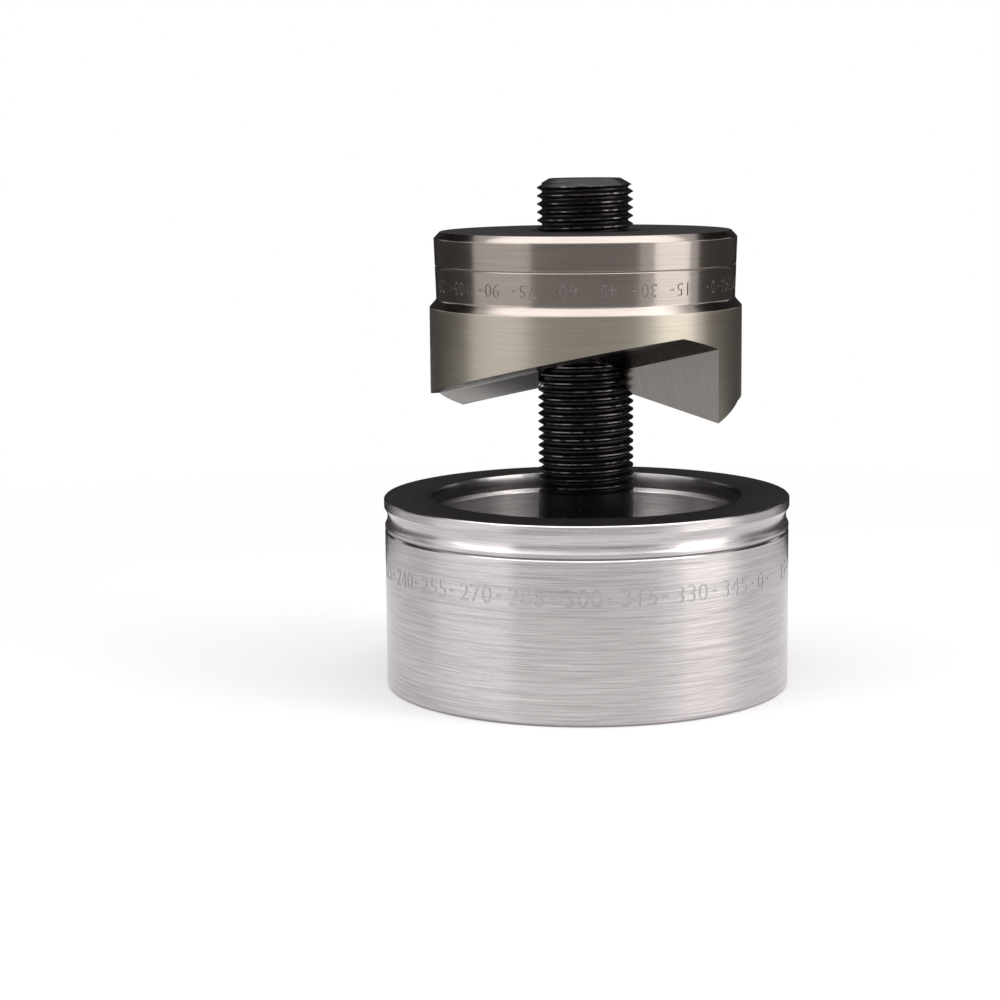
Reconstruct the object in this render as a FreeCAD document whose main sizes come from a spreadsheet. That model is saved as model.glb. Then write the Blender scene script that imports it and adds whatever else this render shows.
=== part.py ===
import FreeCAD, Part
import Sketcher
import math
import os

# Knockout punch for sheet metal: a cup-shaped die, a punch with two slanted cutting lips,
# and the draw stud that pulls the punch down into the die.
# Millimetres. The origin is the centre of the die's bottom face, +Z runs up the stud,
# and the punch's two tips lie on the X axis.

SIZES = {
    "cutting_diameter": (61.5, "hole that the punch cuts"),
    "shear_clearance": (0.2, "radial gap between the punch and the die's cutting bore"),

    "stud_diameter": (18.85, "major diameter of the draw stud's thread and shank"),
    "stud_length": (100.4, "draw stud from end to end"),
    "stud_face_diameter": (14.0, "flat face at the stud's top end"),
    "stud_top_chamfer": (1.4, "axial length of the top end's chamfer"),
    "stud_foot_chamfer": (1.2, "chamfer round the driver end"),

    "sheet_gap": (16.05, "from the die's top face up to the punch's tips"),
    "punch_height": (36.3, "punch from its tips to its top face"),
    "thread_fit": (0.05, "radial clearance of the punch's bore on the stud"),
    "top_face_diameter": (57.2, "punch's flat top face"),
    "top_chamfer": (1.25, "axial length of the chamfer round the top face"),
    "collar_top_diameter": (59.6, "collar just under the top chamfer"),
    "collar_foot_diameter": (58.8, "collar where it meets the shoulder"),
    "shoulder_drop": (13.2, "from the top face down to the shoulder's upper edge"),
    "shoulder_height": (1.5, "axial length of the shoulder cone"),
    "scribe_drop": (6.7, "from the top face down to the scribed line"),
    "scribe_depth": (0.2, "depth of the scribed line's V"),
    "bore_countersink": (1.3, "lead-in cone at both mouths of the bore"),
    "ramp_angle": (13.0, "slope of each cutting lip along the tips' line"),
    "bevel_width": (10.0, "width of the bevel beside the step between the lips"),
    "bevel_depth": (3.05, "rise of that bevel from the step outwards"),

    "die_height": (37.9, "die from its bottom to its top face"),
    "die_diameter": (80.4, "die's body"),
    "rim_diameter": (80.7, "rim above the neck"),
    "rim_height": (1.9, "straight part of the rim"),
    "rim_chamfer": (0.25, "broken edge round the top face"),
    "neck_height": (3.7, "axial width of the hollow under the rim"),
    "neck_depth": (0.65, "depth of that hollow below the rim"),
    "ring_drop": (6.1, "from the top face down to the ring groove"),
    "ring_height": (0.65, "axial width of the ring groove"),
    "ring_depth": (0.5, "depth of the ring groove"),
    "foot_chamfer": (0.5, "chamfer round the die's bottom"),
    "land_height": (3.2, "straight cutting bore under the top face"),
    "undercut_height": (0.9, "cone from the cutting bore out to the relief"),
    "relief_depth": (0.9, "radial step from the cutting bore out to the relief"),
    "floor_thickness": (8.3, "die's floor"),
    "floor_fillet": (1.2, "round between the floor and the relief wall"),
    "stud_clearance": (0.4, "radial clearance of the stud in the die's floor"),
    "hole_chamfer": (0.6, "broken edges of the hole in the floor"),
}

doc = FreeCAD.newDocument("knockout_punch")


def write_sheet():
    """Write every driving dimension and what it measures into the spreadsheet."""
    sheet = doc.addObject("Spreadsheet::Sheet", "sizes")
    for row, (alias, (value, meaning)) in enumerate(SIZES.items(), start=1):
        sheet.set(f"A{row}", meaning)
        sheet.set(f"B{row}", str(value))
        sheet.setAlias(f"B{row}", alias)
    doc.recompute()


def cell(expression):
    """Turn each size's name in a formula into a reference to its cell."""
    words = expression.replace("(", "( ").replace(")", " )").split()
    return " ".join(f"sizes.{word}" if word in SIZES else word for word in words)


def origin_feature(body, role):
    """Find one of the body's own planes or axes by its role."""
    return next(item for item in body.Origin.OriginFeatures if item.Role == role)


def make_body(name):
    body = doc.addObject("PartDesign::Body", name)
    body.Label = name
    return body


def make_sketch(body, name, plane="XZ_Plane"):
    """Lay a sketch on one of the body's own planes."""
    sketch = body.newObject("Sketcher::SketchObject", name)
    sketch.AttachmentSupport = [(origin_feature(body, plane), "")]
    sketch.MapMode = "FlatFace"
    doc.recompute()
    return sketch


def bind(sketch, kind, geometry, point, formula):
    """Hold one point's distance from the sketch's origin to a formula of the sizes."""
    value = float(sketch.evalExpression(cell(formula)))
    index = sketch.addConstraint(Sketcher.Constraint(kind, -1, 1, geometry, point, value))
    sketch.setExpression(f"Constraints[{index}]", cell(formula))


def draw_outline(sketch, corners):
    """Draw a closed outline whose corners are pairs of formulas, and constrain it fully.

    A side whose two corners share a formula is held upright or level instead of being
    measured twice.
    """
    points = [
        FreeCAD.Vector(*(float(sketch.evalExpression(cell(text))) for text in corner), 0)
        for corner in corners
    ]
    count = len(points)
    for index in range(count):
        sketch.addGeometry(Part.LineSegment(points[index], points[(index + 1) % count]))
    for index in range(count):
        sketch.addConstraint(
            Sketcher.Constraint("Coincident", index, 2, (index + 1) % count, 1)
        )
    for index, corner in enumerate(corners):
        before = corners[index - 1]
        for axis, distance, parallel in ((0, "DistanceX", "Vertical"), (1, "DistanceY", "Horizontal")):
            if index and corner[axis] == before[axis]:
                sketch.addConstraint(Sketcher.Constraint(parallel, index - 1))
            else:
                bind(sketch, distance, index, 1, corner[axis])


def draw_circle(sketch, across, up, radius):
    """Draw a circle whose centre and radius follow formulas of the sizes."""
    values = [float(sketch.evalExpression(cell(text))) for text in (across, up, radius)]
    centre = FreeCAD.Vector(values[0], values[1], 0)
    sketch.addGeometry(Part.Circle(centre, FreeCAD.Vector(0, 0, 1), values[2]))
    if across == up == "0":
        sketch.addConstraint(Sketcher.Constraint("Coincident", 0, 3, -1, 1))
    else:
        bind(sketch, "DistanceX", 0, 3, across)
        bind(sketch, "DistanceY", 0, 3, up)
    index = sketch.addConstraint(Sketcher.Constraint("Radius", 0, values[2]))
    sketch.setExpression(f"Constraints[{index}]", cell(radius))


def turn(body, name, sketch, feature="Revolution"):
    """Revolve a sketch fully about the body's Z axis, as metal or as a cut."""
    turned = body.newObject(f"PartDesign::{feature}", name)
    turned.Profile = sketch
    turned.ReferenceAxis = (sketch, ["V_Axis"])
    turned.Angle = 360
    return settle(body, turned)


def bore_through(body, name, radius):
    """Cut a round hole along the body's Z axis, right through."""
    sketch = make_sketch(body, f"{name}_circle", "XY_Plane")
    draw_circle(sketch, "0", "0", radius)
    return cut_through(body, name, sketch)


def cut_through(body, name, sketch):
    """Cut a sketch's area right through the body, on both sides of its plane."""
    pocket = body.newObject("PartDesign::Pocket", name)
    pocket.Profile = sketch
    pocket.Type = "ThroughAll"
    pocket.SideType = "Symmetric"
    return settle(body, pocket)


def break_edges(body, feature, name, size, *rings):
    """Chamfer or fillet the round edges at the given radius and height formulas."""
    base = body.Tip
    edges = [f"Edge{number}" for ring in rings for number in ring_edges(base, *ring)]
    if not edges:
        raise RuntimeError(f"{name}: no edge at {rings}")
    dressed = body.newObject(f"PartDesign::{feature}", name)
    dressed.Base = (base, edges)
    dressed.setExpression("Radius" if feature == "Fillet" else "Size", cell(size))
    return settle(body, dressed)


def ring_edges(base, radius, height):
    """Number the circular edges about the Z axis that have this radius and height."""
    wanted = [float(base.evalExpression(cell(text))) for text in (radius, height)]
    numbers = []
    for number, edge in enumerate(base.Shape.Edges, start=1):
        if isinstance(edge.Curve, Part.Circle):
            found = [edge.Curve.Radius, edge.Curve.Center.z]
            if all(math.isclose(a, b, abs_tol=1e-4) for a, b in zip(found, wanted)):
                numbers.append(number)
    return numbers


def settle(body, feature):
    """Make the feature the body's tip and rebuild; it has to add metal or take some away."""
    before = 0.0 if body.Shape.isNull() else body.Shape.Volume
    body.Tip = feature
    doc.recompute()
    if math.isclose(body.Shape.Volume, before, rel_tol=1e-9):
        raise RuntimeError(f"{feature.Name} changes nothing")
    return feature


def build_die():
    """Cup that stands on its floor: cutting bore above, relief below, hole for the stud."""
    body = make_body("die")
    outline = make_sketch(body, "die_outline")
    neck_middle = "die_height - rim_height - neck_height / 2"
    draw_outline(outline, [
        ("0", "0"),
        ("die_diameter / 2", "0"),
        ("die_diameter / 2", neck_middle),
        ("rim_diameter / 2", neck_middle),
        ("rim_diameter / 2", "die_height"),
        ("0", "die_height"),
    ])
    turn(body, "die_blank", outline)

    neck = make_sketch(body, "neck_circle")
    neck_radius = "( ( neck_height / 2 ) ^ 2 + neck_depth ^ 2 ) / ( 2 * neck_depth )"
    draw_circle(neck, f"rim_diameter / 2 - neck_depth + {neck_radius}", neck_middle, neck_radius)
    turn(body, "neck", neck, "Groove")

    ring = make_sketch(body, "ring_outline")
    ring_floor = "die_diameter / 2 - ring_depth"
    draw_outline(ring, [
        (ring_floor, "die_height - ring_drop - ring_height"),
        ("rim_diameter / 2 + ring_depth", "die_height - ring_drop - ring_height"),
        ("rim_diameter / 2 + ring_depth", "die_height - ring_drop"),
        (ring_floor, "die_height - ring_drop"),
    ])
    turn(body, "ring_groove", ring, "Groove")

    cavity = make_sketch(body, "cavity_outline")
    bore_radius = "cutting_diameter / 2 + shear_clearance"
    relief_radius = f"{bore_radius} + relief_depth"
    draw_outline(cavity, [
        ("0", "floor_thickness"),
        (relief_radius, "floor_thickness"),
        (relief_radius, "die_height - land_height - undercut_height"),
        (bore_radius, "die_height - land_height"),
        (bore_radius, "die_height + land_height"),
        ("0", "die_height + land_height"),
    ])
    turn(body, "cavity", cavity, "Groove")

    hole_radius = "stud_diameter / 2 + stud_clearance"
    bore_through(body, "stud_hole", hole_radius)
    break_edges(body, "Fillet", "floor_round", "floor_fillet", (relief_radius, "floor_thickness"))
    break_edges(body, "Chamfer", "hole_edges", "hole_chamfer",
                (hole_radius, "0"), (hole_radius, "floor_thickness"))
    break_edges(body, "Chamfer", "foot_edge", "foot_chamfer", ("die_diameter / 2", "0"))
    break_edges(body, "Chamfer", "rim_edge", "rim_chamfer", ("rim_diameter / 2", "die_height"))
    return body


def build_punch():
    """Turned collar over a cutting band, with two slanted lips milled from below."""
    body = make_body("punch")
    cutting_radius = "cutting_diameter / 2"
    shoulder_top = "punch_height - shoulder_drop"
    outline = make_sketch(body, "punch_outline")
    draw_outline(outline, [
        ("0", "0"),
        (cutting_radius, "0"),
        (cutting_radius, f"{shoulder_top} - shoulder_height"),
        ("collar_foot_diameter / 2", shoulder_top),
        ("collar_top_diameter / 2", "punch_height - top_chamfer"),
        ("top_face_diameter / 2", "punch_height"),
        ("0", "punch_height"),
    ])
    turn(body, "punch_blank", outline)

    scribe = make_sketch(body, "scribe_outline")
    collar_taper = "( collar_top_diameter - collar_foot_diameter ) / 2"
    taper_share = "( scribe_drop - top_chamfer ) / ( shoulder_drop - top_chamfer )"
    collar_radius = f"collar_top_diameter / 2 - {collar_taper} * {taper_share}"
    draw_outline(scribe, [
        (f"{collar_radius} - scribe_depth", "punch_height - scribe_drop"),
        (f"{collar_radius} + scribe_depth", "punch_height - scribe_drop - 2 * scribe_depth"),
        (f"{collar_radius} + scribe_depth", "punch_height - scribe_drop + 2 * scribe_depth"),
    ])
    turn(body, "scribed_line", scribe, "Groove")

    # The lip's sketch leans with the ramp, about the body's Y axis, and its origin is where
    # the ramp crosses the axis of the punch, so that the tips come out at height zero.
    lip = make_sketch(body, "lip_outline", "YZ_Plane")
    lean = FreeCAD.Rotation(FreeCAD.Vector(1, 0, 0), -SIZES["ramp_angle"][0])
    lip.AttachmentOffset = FreeCAD.Placement(FreeCAD.Vector(), lean)
    lip.setExpression(".AttachmentOffset.Rotation.Angle", cell("0deg - ramp_angle * 1deg"))
    lip.setExpression(".AttachmentOffset.Base.y", cell(f"{cutting_radius} * tan( ramp_angle * 1deg )"))
    doc.recompute()
    bevel_rise = "bevel_depth * cos( ramp_angle * 1deg )"
    outside = "0 - cutting_diameter"
    draw_outline(lip, [
        ("0", "0"),
        ("0 - bevel_width", bevel_rise),
        (outside, bevel_rise),
        (outside, "0 - punch_height"),
        ("0", "0 - punch_height"),
    ])
    first_lip = cut_through(body, "front_lip", lip)
    both_lips = body.newObject("PartDesign::PolarPattern", "both_lips")
    both_lips.Originals = [first_lip]
    both_lips.Axis = (origin_feature(body, "Z_Axis"), [""])
    both_lips.Angle = 360
    both_lips.Occurrences = 2
    settle(body, both_lips)

    bore_radius = "stud_diameter / 2 + thread_fit"
    bore_through(body, "stud_bore", bore_radius)
    break_edges(body, "Chamfer", "upper_mouth", "bore_countersink", (bore_radius, "punch_height"))
    mouth = make_sketch(body, "mouth_cone")
    mouth_level = f"( {cutting_radius} - {bore_radius} ) * tan( ramp_angle * 1deg )"
    draw_outline(mouth, [
        ("0", "0"),
        (f"{bore_radius} + bore_countersink + {mouth_level}", "0"),
        (bore_radius, f"{mouth_level} + bore_countersink"),
        ("0", f"{mouth_level} + bore_countersink"),
    ])
    turn(body, "lower_mouth", mouth, "Groove")
    body.setExpression(".Placement.Base.z", cell("die_height + sheet_gap"))
    return body


def build_draw_stud():
    """Headless stud: the punch's end above, the driver's end flush with the die's base."""
    body = make_body("draw_stud")
    outline = make_sketch(body, "stud_outline")
    draw_outline(outline, [
        ("0", "0"),
        ("stud_diameter / 2 - stud_foot_chamfer", "0"),
        ("stud_diameter / 2", "stud_foot_chamfer"),
        ("stud_diameter / 2", "stud_length - stud_top_chamfer"),
        ("stud_face_diameter / 2", "stud_length"),
        ("0", "stud_length"),
    ])
    turn(body, "stud_blank", outline)
    return body


def check(bodies):
    """Stop before anything is written if a feature failed or a piece is unsound."""
    for item in doc.Objects:
        if {"Invalid", "Error"} & set(item.State):
            raise RuntimeError(f"{item.Name} failed: {item.State}")
    for body in bodies:
        shape = body.Shape
        if shape.isNull() or not shape.isValid() or len(shape.Solids) != 1:
            raise RuntimeError(f"{body.Label} is not one sound solid")


def write(bodies):
    """Write each piece to a file of its own, under its own name."""
    os.makedirs("parts", exist_ok=True)
    for body in bodies:
        body.Shape.exportStep(f"parts/{body.Label}.step")
        box = body.Shape.BoundBox
        print(f"{body.Label}: {body.Shape.Volume / 1000:.2f} cm3, z {box.ZMin:.2f} to {box.ZMax:.2f}")


write_sheet()
pieces = [build_die(), build_punch(), build_draw_stud()]
doc.recompute()
check(pieces)
write(pieces)
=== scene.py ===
"""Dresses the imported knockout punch: the cup-shaped die, the punch and the draw stud.

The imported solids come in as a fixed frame. Each one is replaced by a finer piece of the same
form, which adds what a plain solid leaves out: broken edges, the cut threads and the stamped
graduations. Lengths in the classes are millimetres, as on a workshop drawing, and a finished
piece is brought to the frame's metres.
"""

import logging
import math
from collections.abc import Callable, Iterator, Sequence
from contextlib import contextmanager
from dataclasses import dataclass
from enum import Enum
from itertools import pairwise

import bmesh
import bpy
from mathutils import Matrix, Vector


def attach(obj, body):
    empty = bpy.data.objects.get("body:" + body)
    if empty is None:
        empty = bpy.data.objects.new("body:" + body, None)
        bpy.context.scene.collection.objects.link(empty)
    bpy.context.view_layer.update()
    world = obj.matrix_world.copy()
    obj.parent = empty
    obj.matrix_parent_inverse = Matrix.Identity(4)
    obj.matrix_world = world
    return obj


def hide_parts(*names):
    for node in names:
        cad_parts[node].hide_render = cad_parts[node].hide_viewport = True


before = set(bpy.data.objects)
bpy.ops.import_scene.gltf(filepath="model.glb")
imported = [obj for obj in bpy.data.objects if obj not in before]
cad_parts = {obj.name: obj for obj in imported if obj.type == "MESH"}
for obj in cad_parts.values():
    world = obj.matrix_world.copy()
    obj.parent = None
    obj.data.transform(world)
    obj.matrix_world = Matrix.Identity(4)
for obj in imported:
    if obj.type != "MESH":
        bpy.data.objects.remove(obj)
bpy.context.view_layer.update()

LOG = logging.getLogger("knockout_punch")

METRES = 0.001  # One millimetre.
SAME_PLACE = 0.0005  # Millimetres within which two points are one.
SKIN = 0.02  # Millimetres that a face's middle may lie off the surface that it belongs to.
CREASE = 30.0  # Degrees past which an edge stays sharp.
LEVEL = 0.9  # Upward part of a normal past which its face counts as level.
UPRIGHT = 0.2  # Upward part of a normal up to which its face counts as a wall.

Colour = tuple[float, float, float]


# Bench work: the few operations that every piece goes through.


def select_only(*objects: bpy.types.Object) -> None:
    """Selects these objects and nothing else, and makes the first one active.

    Args:
        objects: The objects that the next operator acts on.
    """
    bpy.ops.object.select_all(action="DESELECT")
    for obj in objects:
        obj.select_set(True)
    bpy.context.view_layer.objects.active = objects[0]


@contextmanager
def editing(obj: bpy.types.Object) -> Iterator[None]:
    """Opens one object in edit mode, and leaves edit mode at the end.

    Args:
        obj: The mesh object to edit.
    """
    select_only(obj)
    bpy.ops.object.mode_set(mode="EDIT")
    yield
    bpy.ops.object.mode_set(mode="OBJECT")


def pick_vertices(obj: bpy.types.Object, wanted: Callable[[Vector], bool]) -> None:
    """Selects, in edit mode, the vertices whose place passes a test, and no others.

    Args:
        obj: The object that is being edited.
        wanted: Says of a vertex's place whether it is selected.
    """
    mesh = bmesh.from_edit_mesh(obj.data)
    mesh.select_mode = {"VERT"}
    for vertex in mesh.verts:
        vertex.select = wanted(vertex.co)
    mesh.select_flush_mode()
    bmesh.update_edit_mesh(obj.data)


@dataclass(frozen=True)
class Corner:
    """One corner of a turned outline.

    Attributes:
        r: Distance from the axis.
        z: Height.
        break_by: How far along each side the sharp corner is rounded off.
        facets: How many facets the rounding has.
    """

    r: float
    z: float
    break_by: float = 0.0
    facets: int = 3


def draw_outline(name: str, corners: Sequence[Corner], closed: bool) -> bpy.types.Object:
    """Draws an outline in the XZ plane by extruding one vertex, and rounds its corners.

    Args:
        name: Name of the new object.
        corners: The corners in order.
        closed: Whether the last corner joins the first.

    Returns:
        The outline as edges without faces, in object mode.
    """
    bpy.ops.mesh.primitive_plane_add(size=1.0)
    wire = bpy.context.object
    wire.name = wire.data.name = name
    path = [*corners, corners[0]] if closed else list(corners)
    with editing(wire):
        bpy.ops.mesh.select_all(action="SELECT")
        bpy.ops.mesh.merge(type="CENTER")
        bpy.ops.transform.translate(value=(path[0].r, 0.0, path[0].z))
        for start, end in pairwise(path):
            step = (end.r - start.r, 0.0, end.z - start.z)
            bpy.ops.mesh.extrude_vertices_move(TRANSFORM_OT_translate={"value": step})
        bpy.ops.mesh.select_all(action="SELECT")
        bpy.ops.mesh.remove_doubles(threshold=SAME_PLACE)
        for amount, facets in sorted({(c.break_by, c.facets) for c in corners if c.break_by}):
            spots = [Vector((c.r, 0.0, c.z)) for c in corners
                     if (c.break_by, c.facets) == (amount, facets)]
            pick_vertices(wire, lambda co: any((co - s).length < SAME_PLACE for s in spots))
            bpy.ops.mesh.bevel(offset=amount, segments=facets, affect="VERTICES")
    return wire


def turn(wire: bpy.types.Object, steps: int) -> bpy.types.Object:
    """Spins an outline once round the Z axis into a closed solid.

    Args:
        wire: The outline, closed or with both ends on the axis.
        steps: Facets round the axis.

    Returns:
        The same object, now a solid of revolution.
    """
    with editing(wire):
        bpy.ops.mesh.select_all(action="SELECT")
        bpy.ops.mesh.spin(steps=steps, angle=math.tau, center=(0, 0, 0), axis=(0, 0, 1))
        bpy.ops.mesh.select_all(action="SELECT")
        bpy.ops.mesh.remove_doubles(threshold=SAME_PLACE / 10)
        bpy.ops.mesh.normals_make_consistent(inside=False)
    return wire


def cut(piece: bpy.types.Object, tool: bpy.types.Object) -> None:
    """Cuts a tool's form out of a piece, and does away with the tool.

    Args:
        piece: The solid that is cut. It takes over the tool's finish where it is cut.
        tool: The closed form to remove.
    """
    modifier = piece.modifiers.new("cut", "BOOLEAN")
    modifier.operation = "DIFFERENCE"
    modifier.solver = "EXACT"
    modifier.material_mode = "TRANSFER"
    modifier.object = tool
    select_only(piece)
    bpy.ops.object.modifier_apply(modifier=modifier.name)
    bpy.data.objects.remove(tool, do_unlink=True)


def smooth(piece: bpy.types.Object) -> None:
    """Shades a piece smooth, apart from its edges of more than CREASE degrees."""
    select_only(piece)
    bpy.ops.object.shade_smooth_by_angle(angle=math.radians(CREASE))


def paint(piece: bpy.types.Object, finish: bpy.types.Material,
          where: Callable[[bpy.types.MeshPolygon], bool]) -> None:
    """Gives some faces of a piece a finish of their own.

    Args:
        piece: The piece in object mode.
        finish: The material for those faces.
        where: Says of a face whether it takes the finish.
    """
    piece.data.materials.append(finish)
    slot = len(piece.data.materials) - 1
    for face in piece.data.polygons:
        if where(face):
            face.material_index = slot


def round_walls(piece: bpy.types.Object, within: tuple[float, float], radius: float) -> None:
    """Shades the turned walls round which figures were struck as true rounds again.

    Each corner of a wall's face takes the face's own slope and the corner's own bearing, so
    that the cut-up faces between the figures don't show as flats.

    Args:
        piece: The piece, smoothed, still in millimetres.
        within: Lowest and highest middle of the faces that are shaded.
        radius: Smallest distance from the axis of those faces.
    """
    mesh = piece.data
    normals = [(0.0, 0.0, 0.0)] * len(mesh.loops)
    for face in mesh.polygons:
        middle, slope = face.center, face.normal
        if not (within[0] < middle.z < within[1] and abs(slope.z) < UPRIGHT
                and face.material_index == 0 and middle.xy.length > radius):
            continue
        for index in face.loop_indices:
            bearing = mesh.vertices[mesh.loops[index].vertex_index].co.xy.normalized()
            out = bearing * slope.xy.length
            normals[index] = (out.x, out.y, slope.z)
    mesh.normals_split_custom_set(normals)


def deliver(piece: bpy.types.Object, node: str) -> None:
    """Brings a finished piece to metres and puts it in its solid's place.

    Args:
        piece: The piece, in millimetres, at its place in the frame.
        node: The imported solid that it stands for, which names its body too.
    """
    select_only(piece)
    piece.scale = (METRES,) * 3
    bpy.ops.object.transform_apply(location=False, rotation=False, scale=True)
    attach(piece, node)
    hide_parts(node)
    LOG.info("%s: %d faces for %s", piece.name, len(piece.data.polygons), node)


# Finishes: shared effects as node groups, and one material for each finish and each painted light
# or shade.

CONE_SHIFT = 1.7  # How far rings move with the distance from the axis, against the height.
GRIND_LEAN = 0.2  # How far straight marks lean from the upright.
FINER = 3.7  # How much finer the second layer of marks is than the first.
FINE_RELIEF = 0.35  # Height of the finer marks against the broad ones.
FINE_TONE = 0.5  # Share of the finer marks in the colour. The rest is the broad ones'.
CLOUD_DULLING = 0.6  # Share of the clouds in the roughness. The rest is the broad marks'.
MARK_STOPS = (0.3, 0.62)  # Noise values of the darkest and of the lightest steel.
SPECK_STOPS = (-0.08, 0.06)  # Noise values round its threshold over which a speck comes in.


class Lay(Enum):
    """Way in which a tool's marks run over a surface."""

    RINGS = "turning_marks"
    STRAIGHT = "grinding_marks"


class Wiring:
    """Adds nodes to one node tree and joins them up."""

    def __init__(self, tree: bpy.types.NodeTree) -> None:
        """Takes the tree that the nodes go into."""
        self.tree = tree

    def add(self, kind: str, inputs: dict | None = None, **settings: object) -> bpy.types.Node:
        """Adds one node, and feeds its inputs with values or with other nodes' outputs.

        Args:
            kind: The node's type name, without the ShaderNode in front.
            inputs: Value or output socket for each input, by name or number.
            settings: The node's own options.

        Returns:
            The new node.
        """
        node = self.tree.nodes.new(f"ShaderNode{kind}")
        for option, value in settings.items():
            setattr(node, option, value)
        for key, value in (inputs or {}).items():
            if isinstance(value, bpy.types.NodeSocket):
                self.tree.links.new(value, node.inputs[key])
            else:
                node.inputs[key].default_value = value
        return node

    def math(self, operation: str, *values: object) -> bpy.types.NodeSocket:
        """Adds a Math node and gives back its result."""
        return self.add("Math", dict(enumerate(values)), operation=operation).outputs[0]

    def mix(self, share: float, first: bpy.types.NodeSocket,
            second: bpy.types.NodeSocket) -> bpy.types.NodeSocket:
        """Adds up a share of one value and what is left of another."""
        return self.math("MULTIPLY_ADD", first, share, self.math("MULTIPLY", second, 1.0 - share))

    def spread(self, value: bpy.types.NodeSocket, low: float, high: float) -> bpy.types.NodeSocket:
        """Maps a value from 0 to 1 onto low to high."""
        node = self.add("MapRange", {"Value": value, "To Min": low, "To Max": high})
        return node.outputs["Result"]

    def ramp(self, value: bpy.types.NodeSocket,
             stops: Sequence[tuple[float, Colour]]) -> bpy.types.NodeSocket:
        """Turns a value into a colour.

        Args:
            value: The value, from 0 to 1.
            stops: Position and colour of two or more stops.

        Returns:
            The colour socket.
        """
        node = self.add("ValToRGB", {"Fac": value})
        elements = node.color_ramp.elements
        while len(elements) < len(stops):
            elements.new(1.0)
        for element, (position, colour) in zip(elements, stops):
            element.position = position
            element.color = (*colour, 1.0)
        return node.outputs["Color"]


def new_group(name: str, inputs: dict[str, float], outputs: Sequence[str]) -> Wiring:
    """Starts a node group with plain number inputs and outputs.

    Args:
        name: Name of the group.
        inputs: Default value of each input.
        outputs: Names of the outputs.

    Returns:
        The wiring of the empty group, with its two end nodes in place.
    """
    tree = bpy.data.node_groups.new(name, "ShaderNodeTree")
    for label, value in inputs.items():
        socket = tree.interface.new_socket(label, in_out="INPUT", socket_type="NodeSocketFloat")
        socket.default_value = value
    for label in outputs:
        tree.interface.new_socket(label, in_out="OUTPUT", socket_type="NodeSocketFloat")
    tree.nodes.new("NodeGroupInput")
    tree.nodes.new("NodeGroupOutput")
    return Wiring(tree)


def marks_group(lay: Lay) -> bpy.types.NodeTree:
    """Builds the fine scored lines that a tool leaves, once for each lay.

    Rings run round the Z axis, on walls, cones and faces alike, because the pattern changes
    with height and with distance from the axis and hardly along the ring.

    Args:
        lay: The way in which the marks run.

    Returns:
        The node group, with the outputs Broad, Fine and Height.
    """
    if lay.value in bpy.data.node_groups:
        return bpy.data.node_groups[lay.value]
    group = new_group(lay.value, {"Across": 3000.0, "Along": 30.0}, ("Broad", "Fine", "Height"))
    ends = group.tree.nodes["Group Input"].outputs
    place = group.add("SeparateXYZ", {0: group.add("TexCoord").outputs["Object"]}).outputs
    if lay is Lay.RINGS:
        out = group.math("SQRT", group.math("ADD", group.math("MULTIPLY", place[0], place[0]),
                                            group.math("MULTIPLY", place[1], place[1])))
        level = group.math("MULTIPLY_ADD", out, CONE_SHIFT, place[2])
        along = (place[0], place[1])
    else:
        level = group.math("MULTIPLY_ADD", place[2], GRIND_LEAN, place[0])
        along = (place[1], place[2])
    layers = []
    for fineness in (1.0, FINER):
        across = group.math("MULTIPLY", ends["Across"], fineness)
        reach = group.math("MULTIPLY", ends["Along"], math.sqrt(fineness))
        stretched = group.add("CombineXYZ", {
            0: group.math("MULTIPLY", along[0], reach),
            1: group.math("MULTIPLY", along[1], reach),
            2: group.math("MULTIPLY", level, across),
        })
        layers.append(group.add("TexNoise", {
            "Vector": stretched.outputs[0], "Scale": 1.0, "Detail": 2.0, "Roughness": 0.6,
        }).outputs["Fac"])
    height = group.math("MULTIPLY_ADD", layers[1], FINE_RELIEF, layers[0])
    exits = group.tree.nodes["Group Output"].inputs
    for label, socket in zip(("Broad", "Fine", "Height"), (*layers, height)):
        group.tree.links.new(socket, exits[label])
    return group.tree


def cloud_group() -> bpy.types.NodeTree:
    """Builds soft clouds and small specks, for handling, oil and the grain of an oxide.

    Returns:
        The node group, with the outputs Clouds and Specks.
    """
    if "clouds_and_specks" in bpy.data.node_groups:
        return bpy.data.node_groups["clouds_and_specks"]
    group = new_group("clouds_and_specks", {"Cloud Scale": 60.0, "Speck Scale": 2200.0},
                      ("Clouds", "Specks"))
    ends = group.tree.nodes["Group Input"].outputs
    place = group.add("TexCoord").outputs["Object"]
    exits = group.tree.nodes["Group Output"].inputs
    for label, scale, detail in (("Clouds", "Cloud Scale", 3.0), ("Specks", "Speck Scale", 1.0)):
        noise = group.add("TexNoise", {"Vector": place, "Scale": ends[scale], "Detail": detail})
        group.tree.links.new(noise.outputs["Fac"], exits[label])
    return group.tree


def start_material(name: str) -> tuple[bpy.types.Material, Wiring]:
    """Makes a material without any nodes.

    Args:
        name: Name of the material.

    Returns:
        The material and the wiring of its node tree.
    """
    material = bpy.data.materials.new(name)
    material.use_nodes = True
    material.node_tree.nodes.clear()
    return material, Wiring(material.node_tree)


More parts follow.
